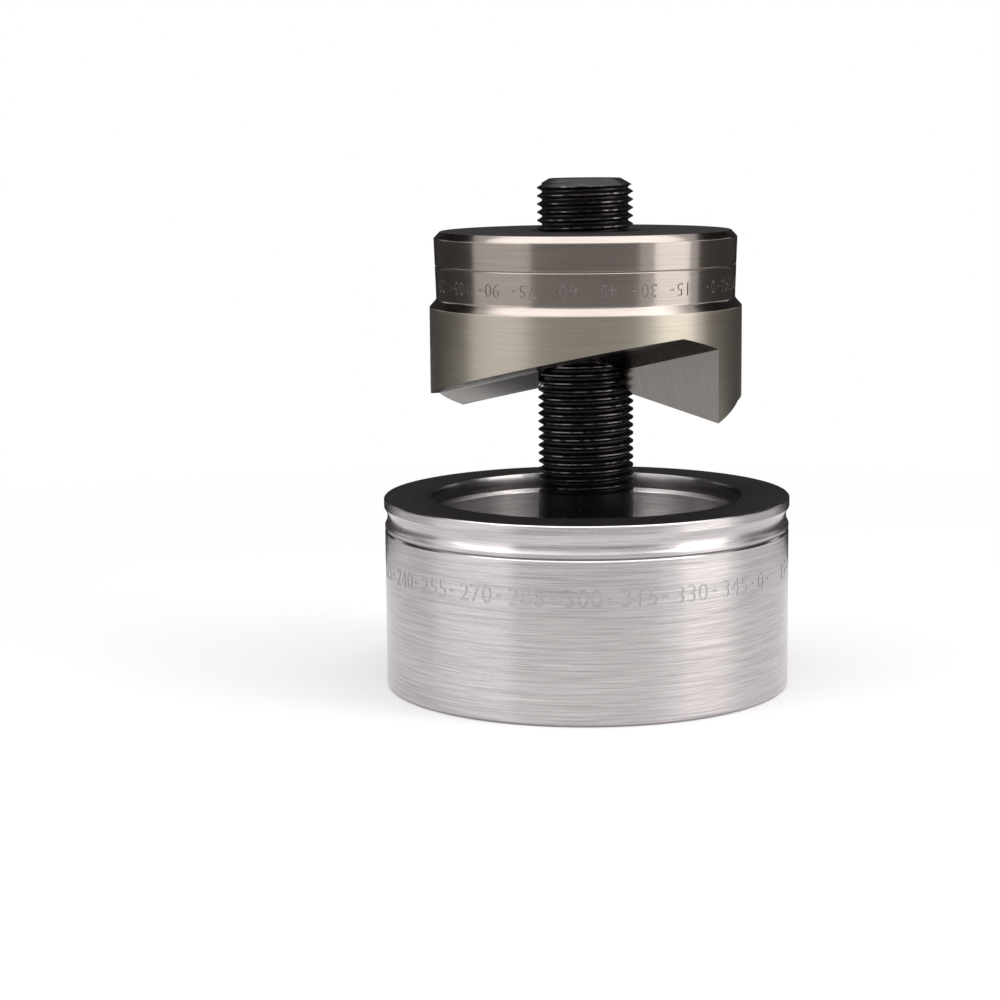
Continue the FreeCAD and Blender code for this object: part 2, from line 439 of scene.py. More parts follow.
@dataclass(frozen=True)
class ToolMarkedSteel:
    """Bare steel with the fine lines of the tool that cut it.

    Attributes:
        name: Name of the material.
        lay: The way in which the lines run.
        dark: Colour at the bottom of a line.
        light: Colour between the lines.
        roughness: Lowest and highest roughness.
        anisotropy: How far the lines stretch a highlight across them.
        across: Lines in a metre.
        along: Changes in a metre along a line.
        relief: Height of the lines in metres.
    """

    name: str
    lay: Lay
    dark: Colour
    light: Colour
    roughness: tuple[float, float]
    anisotropy: float = 0.0
    across: float = 3000.0
    along: float = 60.0
    relief: float = 7e-7

    def material(self) -> bpy.types.Material:
        """Builds the material, or gives it back if it is there already."""
        if self.name in bpy.data.materials:
            return bpy.data.materials[self.name]
        material, wires = start_material(self.name)
        marks = wires.add("Group", node_tree=marks_group(self.lay))
        marks.inputs["Across"].default_value = self.across
        marks.inputs["Along"].default_value = self.along
        clouds = wires.add("Group", node_tree=cloud_group())
        tone = wires.mix(FINE_TONE, marks.outputs["Fine"], marks.outputs["Broad"])
        dull = wires.mix(CLOUD_DULLING, clouds.outputs["Clouds"], marks.outputs["Broad"])
        bump = wires.add("Bump", {"Height": marks.outputs["Height"], "Strength": 1.0,
                                  "Distance": self.relief})
        shader = wires.add("BsdfPrincipled", {
            "Base Color": wires.ramp(tone, tuple(zip(MARK_STOPS, (self.dark, self.light)))),
            "Metallic": 1.0,
            "Roughness": wires.spread(dull, *self.roughness),
            "Anisotropic": self.anisotropy,
            "Anisotropic Rotation": 0.25,
            "Normal": bump.outputs["Normal"],
        })
        wires.add("OutputMaterial", {"Surface": shader.outputs["BSDF"]})
        return material


@dataclass(frozen=True)
class BlackOxide:
    """Steel blackened in a hot bath, with a thin film of oil on it.

    Attributes:
        name: Name of the material.
        dark: Colour of the oxide.
        speck: Colour of its small spots: thin oxide on the faces, a painted highlight on the
            crests.
        speck_from: Noise value above which a spot shows.
        roughness: Lowest and highest roughness.
        metallic: How far it still mirrors as a metal.
        relief: Height of its grain in metres.
        grain: Spots in a metre.
    """

    name: str
    dark: Colour
    speck: Colour
    speck_from: float
    roughness: tuple[float, float]
    metallic: float
    relief: float
    grain: float = 2200.0

    def material(self) -> bpy.types.Material:
        """Builds the material, or gives it back if it is there already."""
        if self.name in bpy.data.materials:
            return bpy.data.materials[self.name]
        material, wires = start_material(self.name)
        clouds = wires.add("Group", node_tree=cloud_group())
        clouds.inputs["Speck Scale"].default_value = self.grain
        bump = wires.add("Bump", {"Height": clouds.outputs["Specks"], "Strength": 1.0,
                                  "Distance": self.relief})
        below, above = (self.speck_from + step for step in SPECK_STOPS)
        shader = wires.add("BsdfPrincipled", {
            "Base Color": wires.ramp(clouds.outputs["Specks"],
                                     ((below, self.dark), (above, self.speck))),
            "Metallic": self.metallic,
            "Roughness": wires.spread(clouds.outputs["Clouds"], *self.roughness),
            "Normal": bump.outputs["Normal"],
        })
        wires.add("OutputMaterial", {"Surface": shader.outputs["BSDF"]})
        return material


DIE_STEEL = ToolMarkedSteel(
    "bright_turned_steel", Lay.RINGS, dark=(0.34, 0.313, 0.317), light=(0.66, 0.617, 0.621),
    roughness=(0.21, 0.32), anisotropy=0.85, across=4400.0, along=65.0, relief=4.8e-6)
# Painted light: a lighter copy of the turned steel for the inside of the cup.
LIT_BORE_STEEL = ToolMarkedSteel(
    "lit_bored_steel", Lay.RINGS, dark=(0.72, 0.69, 0.69), light=(0.95, 0.93, 0.93),
    roughness=(0.14, 0.26), anisotropy=0.5, across=1500.0, along=40.0, relief=2e-6)
# Painted shade: a darker copy of the die's steel for the bore's land and the ring groove.
SHADED_EDGE_STEEL = ToolMarkedSteel(
    "shaded_land_and_groove_steel", Lay.RINGS, dark=(0.34, 0.33, 0.33), light=(0.44, 0.425, 0.425),
    roughness=(0.12, 0.20), anisotropy=0.2, across=1500.0, along=40.0, relief=0.0)
COLLAR_STEEL = ToolMarkedSteel(
    "satin_turned_steel", Lay.RINGS, dark=(0.275, 0.241, 0.219), light=(0.335, 0.294, 0.267),
    roughness=(0.15, 0.24), anisotropy=0.7)
# Lighter than the collar's steel: partly its ground finish, partly a painted reflection that
# lightens the band's front.
BAND_STEEL = ToolMarkedSteel(
    "ground_band_steel", Lay.RINGS, dark=(0.35, 0.316, 0.263), light=(0.42, 0.381, 0.319),
    roughness=(0.28, 0.36), anisotropy=0.45)
LIP_STEEL = ToolMarkedSteel(
    "flat_ground_steel", Lay.STRAIGHT, dark=(0.20, 0.181, 0.17), light=(0.242, 0.222, 0.208),
    roughness=(0.14, 0.24), anisotropy=0.3, along=90.0)
# Painted shade: a darker copy of the ground steel for the ramps under the lips.
SHADED_RAMP_STEEL = ToolMarkedSteel(
    "shaded_ramp_steel", Lay.STRAIGHT, dark=(0.123, 0.106, 0.096), light=(0.156, 0.137, 0.124),
    roughness=(0.16, 0.28), anisotropy=0.3, along=90.0)
BLACK_FACE = BlackOxide(
    "blackened_face", dark=(0.020, 0.018, 0.020), speck=(0.058, 0.052, 0.052), speck_from=0.68,
    roughness=(0.34, 0.55), metallic=0.7, relief=3e-6)
# Painted highlight: bright steel patches on the black thread crests.
CREST_GLINT = BlackOxide(
    "painted_crest_glint", dark=(0.03, 0.027, 0.027), speck=(0.21, 0.183, 0.178), speck_from=0.53,
    roughness=(0.18, 0.30), metallic=1.0, relief=0.0, grain=500.0)
BLACK_STUD = BlackOxide(
    "oiled_black_oxide", dark=(0.016, 0.014, 0.015), speck=(0.05, 0.045, 0.045),
    speck_from=0.68, roughness=(0.20, 0.36), metallic=0.6, relief=2e-6)
# The struck hollows take a darker steel than the walls round them: on the die as painted shade by
# their depth, on the punch darker still.
DIE_STAMP = ToolMarkedSteel(
    "die_stamp_hollow", Lay.RINGS, dark=(0.35, 0.34, 0.34), light=(0.55, 0.54, 0.54),
    roughness=(0.30, 0.45), across=2500.0, relief=1e-6)
PUNCH_STAMP = ToolMarkedSteel(
    "punch_stamp_hollow", Lay.RINGS, dark=(0.18, 0.16, 0.15), light=(0.34, 0.31, 0.29),
    roughness=(0.35, 0.50), across=2500.0, relief=1e-6)


# Cutting tools for what the plain solids leave out.


@dataclass(frozen=True)
class Thread:
    """A right-handed screw thread of sixteen turns to the inch, with flanks at sixty degrees.

    Attributes:
        pitch: Travel in one turn.
        crest_radius: Outside of the stud's thread.
        root_radius: Bottom of the stud's groove.
        nut_radius: Inside of the punch's thread.
        fit: Radial room between the two.
        flank_angle: Degrees from a flank to the level.
        steps: Facets in one turn.
    """

    pitch: float = 25.4 / 16
    crest_radius: float = 9.425
    root_radius: float = 8.475
    nut_radius: float = 8.62
    fit: float = 0.05
    flank_angle: float = 30.0
    steps: int = 96

    @property
    def rise(self) -> float:
        """Gives how far a flank climbs over a millimetre of depth."""
        return math.tan(math.radians(self.flank_angle))

    def coil(self, name: str, section: Sequence[tuple[float, float]], first: int,
             turns: int) -> bpy.types.Object:
        """Winds a closed section up the Z axis.

        Args:
            name: Name of the new object.
            section: Corners as distance from the axis and height above the coil's line.
            first: Height at which the coil starts, in pitches.
            turns: How many turns it has.

        Returns:
            A closed solid coil.
        """
        start = first * self.pitch
        wire = draw_outline(name, [Corner(r, start + z) for r, z in section], closed=True)
        screw = wire.modifiers.new("turns", "SCREW")
        screw.axis = "Z"
        screw.angle = math.tau
        screw.screw_offset = self.pitch
        screw.iterations = turns
        screw.steps = screw.render_steps = self.steps
        select_only(wire)
        bpy.ops.object.modifier_apply(modifier=screw.name)
        with editing(wire):
            bpy.ops.mesh.select_all(action="SELECT")
            bpy.ops.mesh.fill_holes(sides=0)
            bpy.ops.mesh.select_all(action="SELECT")
            bpy.ops.mesh.normals_make_consistent(inside=False)
        return wire

    def outside_groove(self, name: str, first: int, turns: int,
                       run_out_at: int) -> bpy.types.Object:
        """Makes the groove that a die head cuts round the stud.

        Args:
            name: Name of the new object.
            first: Height at which the groove starts, in pitches.
            turns: How many turns it has.
            run_out_at: Height in pitches of the end where the tool is drawn back over a turn.

        Returns:
            The closed form of the groove.
        """
        beyond = 0.1
        depth = self.crest_radius - self.root_radius
        crest_flat = self.pitch / 8
        mouth = (self.pitch - crest_flat) / 2
        root = mouth - depth * self.rise
        outer = mouth + beyond * self.rise
        coil = self.coil(name, (
            (self.root_radius, -root), (self.crest_radius + beyond, -outer),
            (self.crest_radius + beyond, outer), (self.root_radius, root),
        ), first, turns)
        for vertex in coil.data.vertices:
            part_turn = math.atan2(vertex.co.y, vertex.co.x) / math.tau % 1.0
            full_turns = round(vertex.co.z / self.pitch - part_turn)
            drawn_back = max(0.0, 1.0 - abs(full_turns + part_turn - run_out_at))
            radius = math.hypot(vertex.co.x, vertex.co.y)
            stretch = 1.0 + drawn_back * (depth + self.fit) / radius
            vertex.co.x *= stretch
            vertex.co.y *= stretch
        return coil

    def inside_groove(self, name: str, first: int, turns: int) -> bpy.types.Object:
        """Makes the groove that a tap cuts in the punch's bore.

        Args:
            name: Name of the new object.
            first: Height at which the groove starts, in pitches.
            turns: How many turns it has.

        Returns:
            The closed form of the groove.
        """
        within = 0.15
        crest_flat, play = self.pitch / 8, 0.03
        root = crest_flat / 2 + self.fit * self.rise + play
        root_radius = self.crest_radius + self.fit
        mouth = root + (root_radius - self.nut_radius + within) * self.rise
        return self.coil(name, (
            (self.nut_radius - within, -mouth), (root_radius, -root),
            (root_radius, root), (self.nut_radius - within, mouth),
        ), first, turns)


@dataclass(frozen=True)
class StampedRing:
    """A ring of plain degree numbers, each figure struck with its own small punch.

    Attributes:
        radius: Radius of the wall at the figures' middle height.
        level: Height of the figures' middle.
        figure_height: Height of a figure.
        figure_pitch: Distance from one figure to the next.
        depth: How deep the figures are struck.
        step: Degrees from one number to the next.
        lean: How far the wall leans inwards at its foot, in degrees.
        inverted: Whether the figures stand on their heads.
        letter_share: Height of a figure in a letter of size one.
    """

    radius: float
    level: float
    figure_height: float
    figure_pitch: float
    depth: float
    step: int = 15
    lean: float = 0.0
    inverted: bool = False
    letter_share: float = 0.73

    def figure(self, sign: str) -> bpy.types.Object:
        """Makes one figure lying in the XY plane, centred, as thick as the tool needs.

        Args:
            sign: The figure.

        Returns:
            A closed mesh object.
        """
        bpy.ops.object.select_all(action="DESELECT")
        bpy.ops.object.text_add()
        words = bpy.context.object
        words.data.body = sign
        words.data.size = self.figure_height / self.letter_share
        words.data.extrude = self.depth
        words.data.resolution_u = 3
        bpy.ops.object.convert(target="MESH")
        shape = bpy.context.object
        with editing(shape):
            bpy.ops.mesh.select_all(action="SELECT")
            bpy.ops.mesh.remove_doubles(threshold=SAME_PLACE)
        middle = [sum(c[axis] for c in shape.bound_box) / 8 for axis in (0, 1)]
        shape.data.transform(Matrix.Translation((-middle[0], -middle[1], 0.0)))
        return shape

    def tool(self, finish: bpy.types.Material) -> bpy.types.Object:
        """Sets all the figures round the wall as one tool.

        Args:
            finish: The finish that the struck hollows take.

        Returns:
            A closed form for each figure, joined into one object.
        """
        masters = {sign: self.figure(sign) for sign in "0123456789-"}
        facing = -1.0 if self.inverted else 1.0
        stand = Matrix(((0, 0, 1, 0), (facing, 0, 0, 0), (0, facing, 0, 0), (0, 0, 0, 1)))
        lean = Matrix.Rotation(math.radians(self.lean), 4, "Y")
        out = Matrix.Translation((self.radius, 0.0, self.level))
        struck = []
        for number in range(0, 360, self.step):
            for place, sign in enumerate(f"{number}-"):
                angle = facing * (math.radians(number) + place * self.figure_pitch / self.radius)
                copy = masters[sign].copy()
                copy.data = masters[sign].data.copy()
                bpy.context.collection.objects.link(copy)
                copy.matrix_world = Matrix.Rotation(angle, 4, "Z") @ out @ lean @ stand
                struck.append(copy)
        for master in masters.values():
            bpy.data.objects.remove(master, do_unlink=True)
        select_only(*struck)
        bpy.ops.object.join()
        ring = bpy.context.object
        bpy.ops.object.transform_apply()
        ring.data.materials.clear()
        ring.data.materials.append(finish)
        return ring


# The pieces.


@dataclass(frozen=True)
class Die:
    """The cup that stands on the table: bright outside, with a blackened top face."""

    diameter: float = 80.4
    rim_diameter: float = 80.7
    height: float = 37.9
    rim_height: float = 1.9
    rim_chamfer: float = 0.25
    neck_height: float = 3.7
    neck_depth: float = 0.65
    ring_drop: float = 6.1
    ring_height: float = 0.65
    ring_depth: float = 0.5
    foot_chamfer: float = 0.5
    bore_radius: float = 30.95
    land_height: float = 3.2
    undercut_height: float = 0.9
    relief_depth: float = 0.9
    floor_thickness: float = 8.3
    floor_fillet: float = 1.2
    hole_radius: float = 9.825
    hole_chamfer: float = 0.6
    stamp_level: float = 24.4
    stamp_depth: float = 0.09
    figure_height: float = 3.5
    figure_pitch: float = 2.5
    steps: int = 360

    def neck(self) -> list[Corner]:
        """Lists the corners of the shallow hollow under the rim, from below upwards."""
        half = self.neck_height / 2
        radius = (half ** 2 + self.neck_depth ** 2) / (2 * self.neck_depth)
        centre = self.rim_diameter / 2 - self.neck_depth + radius
        middle = self.height - self.rim_height - half
        lowest = -math.acos((centre - self.diameter / 2) / radius)
        highest = math.asin(half / radius)
        facets = 14
        angles = [lowest + (highest - lowest) * n / facets for n in range(facets + 1)]
        arc = [Corner(centre - radius * math.cos(a), middle + radius * math.sin(a)) for a in angles]
        return [Corner(arc[0].r, arc[0].z, 0.1), *arc[1:-1], Corner(arc[-1].r, arc[-1].z, 0.1)]

    def outline(self) -> list[Corner]:
        """Lists the corners of the turned section, anticlockwise from the hole's lower edge."""
        wall, rim, top = self.diameter / 2, self.rim_diameter / 2, self.height
        groove = top - self.ring_drop
        relief = self.bore_radius + self.relief_depth
        mouth = self.hole_radius + self.hole_chamfer
        undercut = top - self.land_height
        return [
            Corner(mouth, 0.0, 0.1),
            Corner(wall - self.foot_chamfer, 0.0, 0.1),
            Corner(wall, self.foot_chamfer, 0.15),
            Corner(wall, groove - self.ring_height, 0.04),
            Corner(wall - self.ring_depth, groove - self.ring_height + self.ring_depth, 0.04),
            Corner(wall, groove, 0.1),
            *self.neck(),
            Corner(rim, top - self.rim_chamfer, 0.06),
            Corner(rim - self.rim_chamfer, top, 0.06),
            Corner(self.bore_radius, top, 0.08),
            Corner(self.bore_radius, undercut, 0.05),
            Corner(relief, undercut - self.undercut_height, 0.15),
            Corner(relief, self.floor_thickness, self.floor_fillet, 6),
            Corner(mouth, self.floor_thickness, 0.1),
            Corner(self.hole_radius, self.floor_thickness - self.hole_chamfer, 0.1),
            Corner(self.hole_radius, self.hole_chamfer, 0.1),
        ]

    def build(self) -> None:
        """Turns the cup, strikes its numbers, blackens its top, and paints light into its bore and
        shade into its land and groove.
        """
        piece = turn(draw_outline("die_cup", self.outline(), closed=True), self.steps)
        piece.data.materials.append(DIE_STEEL.material())
        cut(piece, StampedRing(
            radius=self.diameter / 2, level=self.stamp_level, depth=self.stamp_depth,
            figure_height=self.figure_height, figure_pitch=self.figure_pitch,
        ).tool(DIE_STAMP.material()))
        paint(piece, BLACK_FACE.material(),
              lambda face: face.normal.z > LEVEL and face.center.z > self.height - SKIN)
        # The bore takes a lighter steel, as painted light, from above the foot of the hole and
        # taking in its rounded mouth.
        sole, rounding, margin = 1.0, 0.1, 2.0
        relief = self.bore_radius + self.relief_depth
        ring = self.height - self.ring_drop - self.ring_height / 2
        land = self.height - self.land_height
        paint(piece, LIT_BORE_STEEL.material(), lambda face: face.material_index == 0
              and face.center.xy.length < relief + SKIN and sole < face.center.z < land)
        # The land and the ring groove take a darker steel, as painted shade.
        paint(piece, SHADED_EDGE_STEEL.material(), lambda face: face.material_index == 0 and (
            face.center.xy.length < self.bore_radius + rounding and land < face.center.z
            or face.center.xy.length < self.diameter / 2 - SKIN
            and abs(face.center.z - ring) < self.ring_height / 2))
        smooth(piece)
        round_walls(piece, within=(self.foot_chamfer, self.height),
                    radius=self.bore_radius + margin)
        deliver(piece, "die")


@dataclass(frozen=True)
class Punch:
    """The round punch: a ground cutting band with two slanted lips under a turned collar."""

    base: float = 53.95
    height: float = 36.3
    cutting_radius: float = 30.75
    top_face_radius: float = 28.6
    top_chamfer: float = 1.25
    collar_top_radius: float = 29.8
    collar_foot_radius: float = 29.4
    shoulder_drop: float = 13.2
    shoulder_height: float = 1.5
    scribe_drop: float = 6.7
    scribe_depth: float = 0.2
    bore_radius: float = 9.475
    countersink: float = 1.3
    ramp_angle: float = 13.0
    bevel_width: float = 10.0
    bevel_depth: float = 3.05
    stamp_drop: float = 10.2
    stamp_depth: float = 0.13
    figure_height: float = 2.6
    figure_pitch: float = 1.85
    steps: int = 360

    def collar_radius(self, drop: float) -> float:
        """Gives the collar's radius at a distance below the top face."""
        share = (drop - self.top_chamfer) / (self.shoulder_drop - self.top_chamfer)
        return self.collar_top_radius + share * (self.collar_foot_radius - self.collar_top_radius)

    def collar_lean(self) -> float:
        """Gives how many degrees the collar's wall leans inwards at its foot."""
        return math.degrees(math.atan((self.collar_top_radius - self.collar_foot_radius)
                                      / (self.shoulder_drop - self.top_chamfer)))

    def ramp(self, x: float) -> float:
        """Gives how far the front lip's inner edge stands above the tips at x."""
        return (self.cutting_radius + x) * math.tan(math.radians(self.ramp_angle))

    def outline(self, thread: Thread) -> list[Corner]:
        """Lists the corners of the turned section, anticlockwise from the lower mouth.

        Args:
            thread: The thread that the bore is drilled for.

        Returns:
            The corners, at the punch's place in the frame.
        """
        top, foot = self.base + self.height, self.base
        shoulder = top - self.shoulder_drop
        scribe, line = self.collar_radius(self.scribe_drop), top - self.scribe_drop
        deeper = self.bore_radius - thread.nut_radius
        mouth = self.ramp(-self.bore_radius) + self.countersink
        return [
            Corner(thread.nut_radius, foot + mouth + deeper),
            Corner(self.bore_radius + mouth, foot),
            Corner(self.cutting_radius, foot),
            Corner(self.cutting_radius, shoulder - self.shoulder_height, 0.15),
            Corner(self.collar_foot_radius, shoulder, 0.25),
            Corner(scribe, line - self.scribe_depth, 0.04),
            Corner(scribe - self.scribe_depth, line, 0.04),
            Corner(scribe, line + self.scribe_depth, 0.04),
            Corner(self.collar_top_radius, top - self.top_chamfer, 0.15),
            Corner(self.top_face_radius, top, 0.12),
            Corner(self.bore_radius + self.countersink, top, 0.1),
            Corner(thread.nut_radius, top - self.countersink - deeper),
        ]

    def lip_cutter(self, side: int) -> bpy.types.Object:
        """Makes the form that the mill leaves open under one lip.

        Args:
            side: -1 for the front lip, on the -Y side, and 1 for the back one.

        Returns:
            A block whose top is the lip's ramp, with the bevel beside the step.
        """
        reach, drop, near = 40.0, 10.0, 1.0
        bpy.ops.mesh.primitive_cube_add(
            size=1.0, location=(0.0, side * reach / 2, self.base - drop / 2))
        block = bpy.context.object
        block.scale = (2 * reach, reach, drop)
        bpy.ops.object.transform_apply()
        with editing(block):
            bpy.ops.mesh.select_all(action="SELECT")
            bpy.ops.mesh.bisect(plane_co=(0, side * self.bevel_width, 0), plane_no=(0, 1, 0))
            for x in (-reach, reach):
                for inner in (True, False):
                    pick_vertices(block, lambda co: co.z > self.base - drop / 2
                                  and abs(co.x - x) < near and (abs(co.y) < near) is inner)
                    lift = self.ramp(-side * x) + (0.0 if inner else self.bevel_depth)
                    bpy.ops.transform.translate(value=(0.0, 0.0, lift))
            bpy.ops.mesh.select_all(action="SELECT")
            bpy.ops.mesh.quads_convert_to_tris()
            bpy.ops.mesh.normals_make_consistent(inside=False)
        block.data.materials.append(LIP_STEEL.material())
        return block

    def build(self, thread: Thread) -> None:
        """Turns the punch, mills its lips, taps its bore, and strikes its numbers.

        Args:
            thread: The thread in its bore.
        """
        piece = turn(draw_outline("punch_body", self.outline(thread), closed=True), self.steps)
        piece.data.materials.append(COLLAR_STEEL.material())
        for side in (-1, 1):
            cut(piece, self.lip_cutter(side))
        # The ramps under the lips take a darker steel, as painted shade.
        paint(piece, SHADED_RAMP_STEEL.material(),
              lambda face: face.material_index == 1 and face.normal.z < -UPRIGHT)
        tap = thread.inside_groove("tap", first=37, turns=22)
        tap.data.materials.append(BLACK_STUD.material())
        cut(piece, tap)
        top = self.base + self.height
        cut(piece, StampedRing(
            radius=self.collar_radius(self.stamp_drop), level=top - self.stamp_drop,
            depth=self.stamp_depth, figure_height=self.figure_height,
            figure_pitch=self.figure_pitch, lean=self.collar_lean(), inverted=True,
        ).tool(PUNCH_STAMP.material()))
        # The black reaches down into the countersink, but not onto the collar's chamfer.
        facing_up, sink, margin = 0.3, 3.0, 1.0
        mouth = self.bore_radius + self.countersink
        paint(piece, BLACK_FACE.material(), lambda face: face.normal.z > facing_up
              and face.center.z > top - (SKIN if face.center.xy.length > mouth else sink))
        smooth(piece)
        round_walls(piece, within=(self.base, top), radius=self.collar_foot_radius - margin)
        band = top - self.shoulder_drop - self.shoulder_height
        paint(piece, BAND_STEEL.material(), lambda face: face.material_index == 0
              and face.center.z < band and face.center.xy.length > self.collar_foot_radius)
        deliver(piece, "punch")


@dataclass(frozen=True)
class DrawStud:
    """The black headless stud: a long thread above, a plain shank, and the driver's thread.

    The shank's ends are heights in pitches, as the threads' are.
    """

    length: float = 100.4
    face_radius: float = 7.0
    top_chamfer: float = 1.4
    foot_chamfer: float = 1.2
    shank: tuple[float, float] = (12.6, 23.4)

    def outline(self, thread: Thread) -> list[Corner]:
        """Lists the corners of the stud's blank, from the axis below to the axis above."""
        return [
            Corner(0.0, 0.0),
            Corner(thread.crest_radius - self.foot_chamfer, 0.0, 0.1),
            Corner(thread.crest_radius, self.foot_chamfer, 0.1),
            Corner(thread.crest_radius, self.length - self.top_chamfer, 0.1),
            Corner(self.face_radius, self.length, 0.15),
            Corner(0.0, self.length),
        ]

    def build(self, thread: Thread) -> None:
        """Turns the blank, cuts a thread from each end, paints highlights on the crests and dulls
        the end faces.

        Args:
            thread: The thread that both ends take.
        """
        blank = draw_outline("threaded_stud", self.outline(thread), closed=False)
        piece = turn(blank, thread.steps)
        piece.data.materials.append(BLACK_STUD.material())
        cut(piece, thread.outside_groove("upper_groove", first=24, turns=40, run_out_at=24))
        cut(piece, thread.outside_groove("lower_groove", first=-1, turns=13, run_out_at=12))
        crest_skin, thin = 0.03, 0.01  # Layers from which a face counts as a crest or an end face.
        low, high = (end * thread.pitch for end in self.shank)
        # The crests take bright steel patches, as a painted highlight.
        paint(piece, CREST_GLINT.material(), lambda face: not low < face.center.z < high
              and face.center.xy.length > thread.crest_radius - crest_skin)
        paint(piece, BLACK_FACE.material(), lambda face: abs(face.normal.z) > LEVEL
              and not thin < face.center.z < self.length - thin)
        smooth(piece)
        deliver(piece, "draw_stud")


# The stage, the lamps and the camera.


def from_camera(bearing: float, distance: float, height: float) -> Vector:
    """Gives a place round the object by its bearing from the camera's side.

    Args:
        bearing: Degrees to the right of the line from the object to the camera.
        distance: Metres from the object's axis.
        height: Metres above the floor.

    Returns:
        The place in the frame.
    """
    angle = math.radians(Camera.azimuth + bearing)
    return Vector((math.sin(angle) * distance, -math.cos(angle) * distance, height))


@dataclass(frozen=True)
class Camera:
    """The photograph's camera, found from the ellipses of the rims.

    Attributes:
        azimuth: Degrees round the object, from the front towards the right.
        distance: Metres from the object's axis.
        height: Metres above the table.
        lens: Focal length in millimetres.
        sensor: Width of the sensor in millimetres.
        pitch: Degrees that it looks down.
        yaw: Degrees that it looks past the axis, to the left where negative.
        roll: Degrees that it leans to its right.
    """

    azimuth: float = 34.5
    distance: float = 0.4742
    height: float = 0.1097
    lens: float = 86.39
    sensor: float = 36.0
    pitch: float = 8.75
    yaw: float = -2.08
    roll: float = 0.55

    def build(self) -> None:
        """Adds the camera and makes it the scene's own."""
        spot = from_camera(0.0, self.distance, self.height)
        turns = ((self.azimuth - self.yaw, "Z"), (90.0 - self.pitch, "X"), (-self.roll, "Z"))
        aim = Matrix.Identity(3)
        for angle, axis in turns:
            aim = aim @ Matrix.Rotation(math.radians(angle), 3, axis)
        bpy.ops.object.camera_add(location=spot, rotation=aim.to_euler())
        camera = bpy.context.object
        camera.data.lens = self.lens
        camera.data.sensor_width = self.sensor
        camera.data.clip_start = 0.01
        bpy.context.scene.camera = camera


@dataclass(frozen=True)
class SoftBox:
    """A soft rectangular lamp that faces the axis, level or from overhead.

    Attributes:
        name: Name of the lamp.
        bearing: Degrees to the right of the camera, seen from the object.
        distance: Metres from the object's axis.
        height: Metres above the floor.
        width: Metres across.
        tall: Metres from its lower to its upper edge.
        power: Watts.
        colour: Colour of its light.
    """

    name: str
    bearing: float
    distance: float
    height: float
    width: float
    tall: float
    power: float
    colour: Colour = (1.0, 1.0, 1.0)

    def build(self) -> None:
        """Adds the lamp."""
        overhead, middle = 1.0, 0.05
        spot = from_camera(self.bearing, self.distance, self.height)
        aim = Vector((0.0, 0.0, middle if self.height > overhead else self.height)) - spot
        bpy.ops.object.light_add(type="AREA", location=spot,
                                 rotation=aim.to_track_quat("-Z", "Y").to_euler())
        lamp = bpy.context.object
        lamp.name = self.name
        lamp.data.shape = "RECTANGLE"
        lamp.data.size = self.width
        lamp.data.size_y = self.tall
        lamp.data.energy = self.power
        lamp.data.color = self.colour
        lamp.visible_camera = False


@dataclass(frozen=True)
class DarkCard:
    """A dark card that stands out of the picture, for the metal to mirror.

    Attributes:
        name: Name of the card.
        bearing: Degrees to the right of the camera, seen from the object.
        distance: Metres from the object's axis.
        width: Metres across.
        tall: Metres from its lower to its upper edge.
        base: Height of its lower edge.
        lying: Whether it lies flat, its height then running away from the object.
        shade: Colour of its cloth.
    """

    name: str
    bearing: float
    distance: float
    width: float
    tall: float
    base: float = 0.0
    lying: bool = False
    shade: Colour = (0.09, 0.081, 0.08)

    def build(self) -> None:
        """Adds the card, which shows in reflections only."""
        up = self.base if self.lying else self.base + self.tall / 2
        bpy.ops.mesh.primitive_plane_add(
            size=1.0, location=from_camera(self.bearing, self.distance, up),
            rotation=(0.0 if self.lying else math.pi / 2, 0.0,
                      math.radians(Camera.azimuth + self.bearing)))
        card = bpy.context.object
        card.name = self.name
        card.scale = (self.width, self.tall, 1.0)
        bpy.ops.object.transform_apply()
        felt = bpy.data.materials.new(f"{self.name}_felt")
        felt.use_nodes = True
        cloth = felt.node_tree.nodes["Principled BSDF"].inputs
        cloth["Base Color"].default_value = (*self.shade, 1.0)
        cloth["Specular IOR Level"].default_value = 0.0
        card.data.materials.append(felt)
        card.visible_camera = card.visible_diffuse = card.visible_shadow = False


def wing(side: str, bearing: float, flag_bearing: float) -> tuple[DarkCard, ...]:
    """Makes a standing card with its mat and a raised flag, for one side of the object.

    Args:
        side: Which side, for the cards' names.
        bearing: Degrees of card and mat to the right of the camera, seen from the object.
        flag_bearing: The same for the flag.

    Returns:
        The three cards.
    """
    return (
        DarkCard(f"{side}_card", bearing, distance=0.50, width=0.62, tall=0.13),
        DarkCard(f"{side}_mat", bearing, distance=0.40, width=0.49, tall=0.20, base=0.002,
                 lying=True),
        DarkCard(f"{side}_flag", flag_bearing, distance=0.45, width=0.40, tall=0.28, base=0.20,
                 shade=(0.02, 0.018, 0.018)),
    )


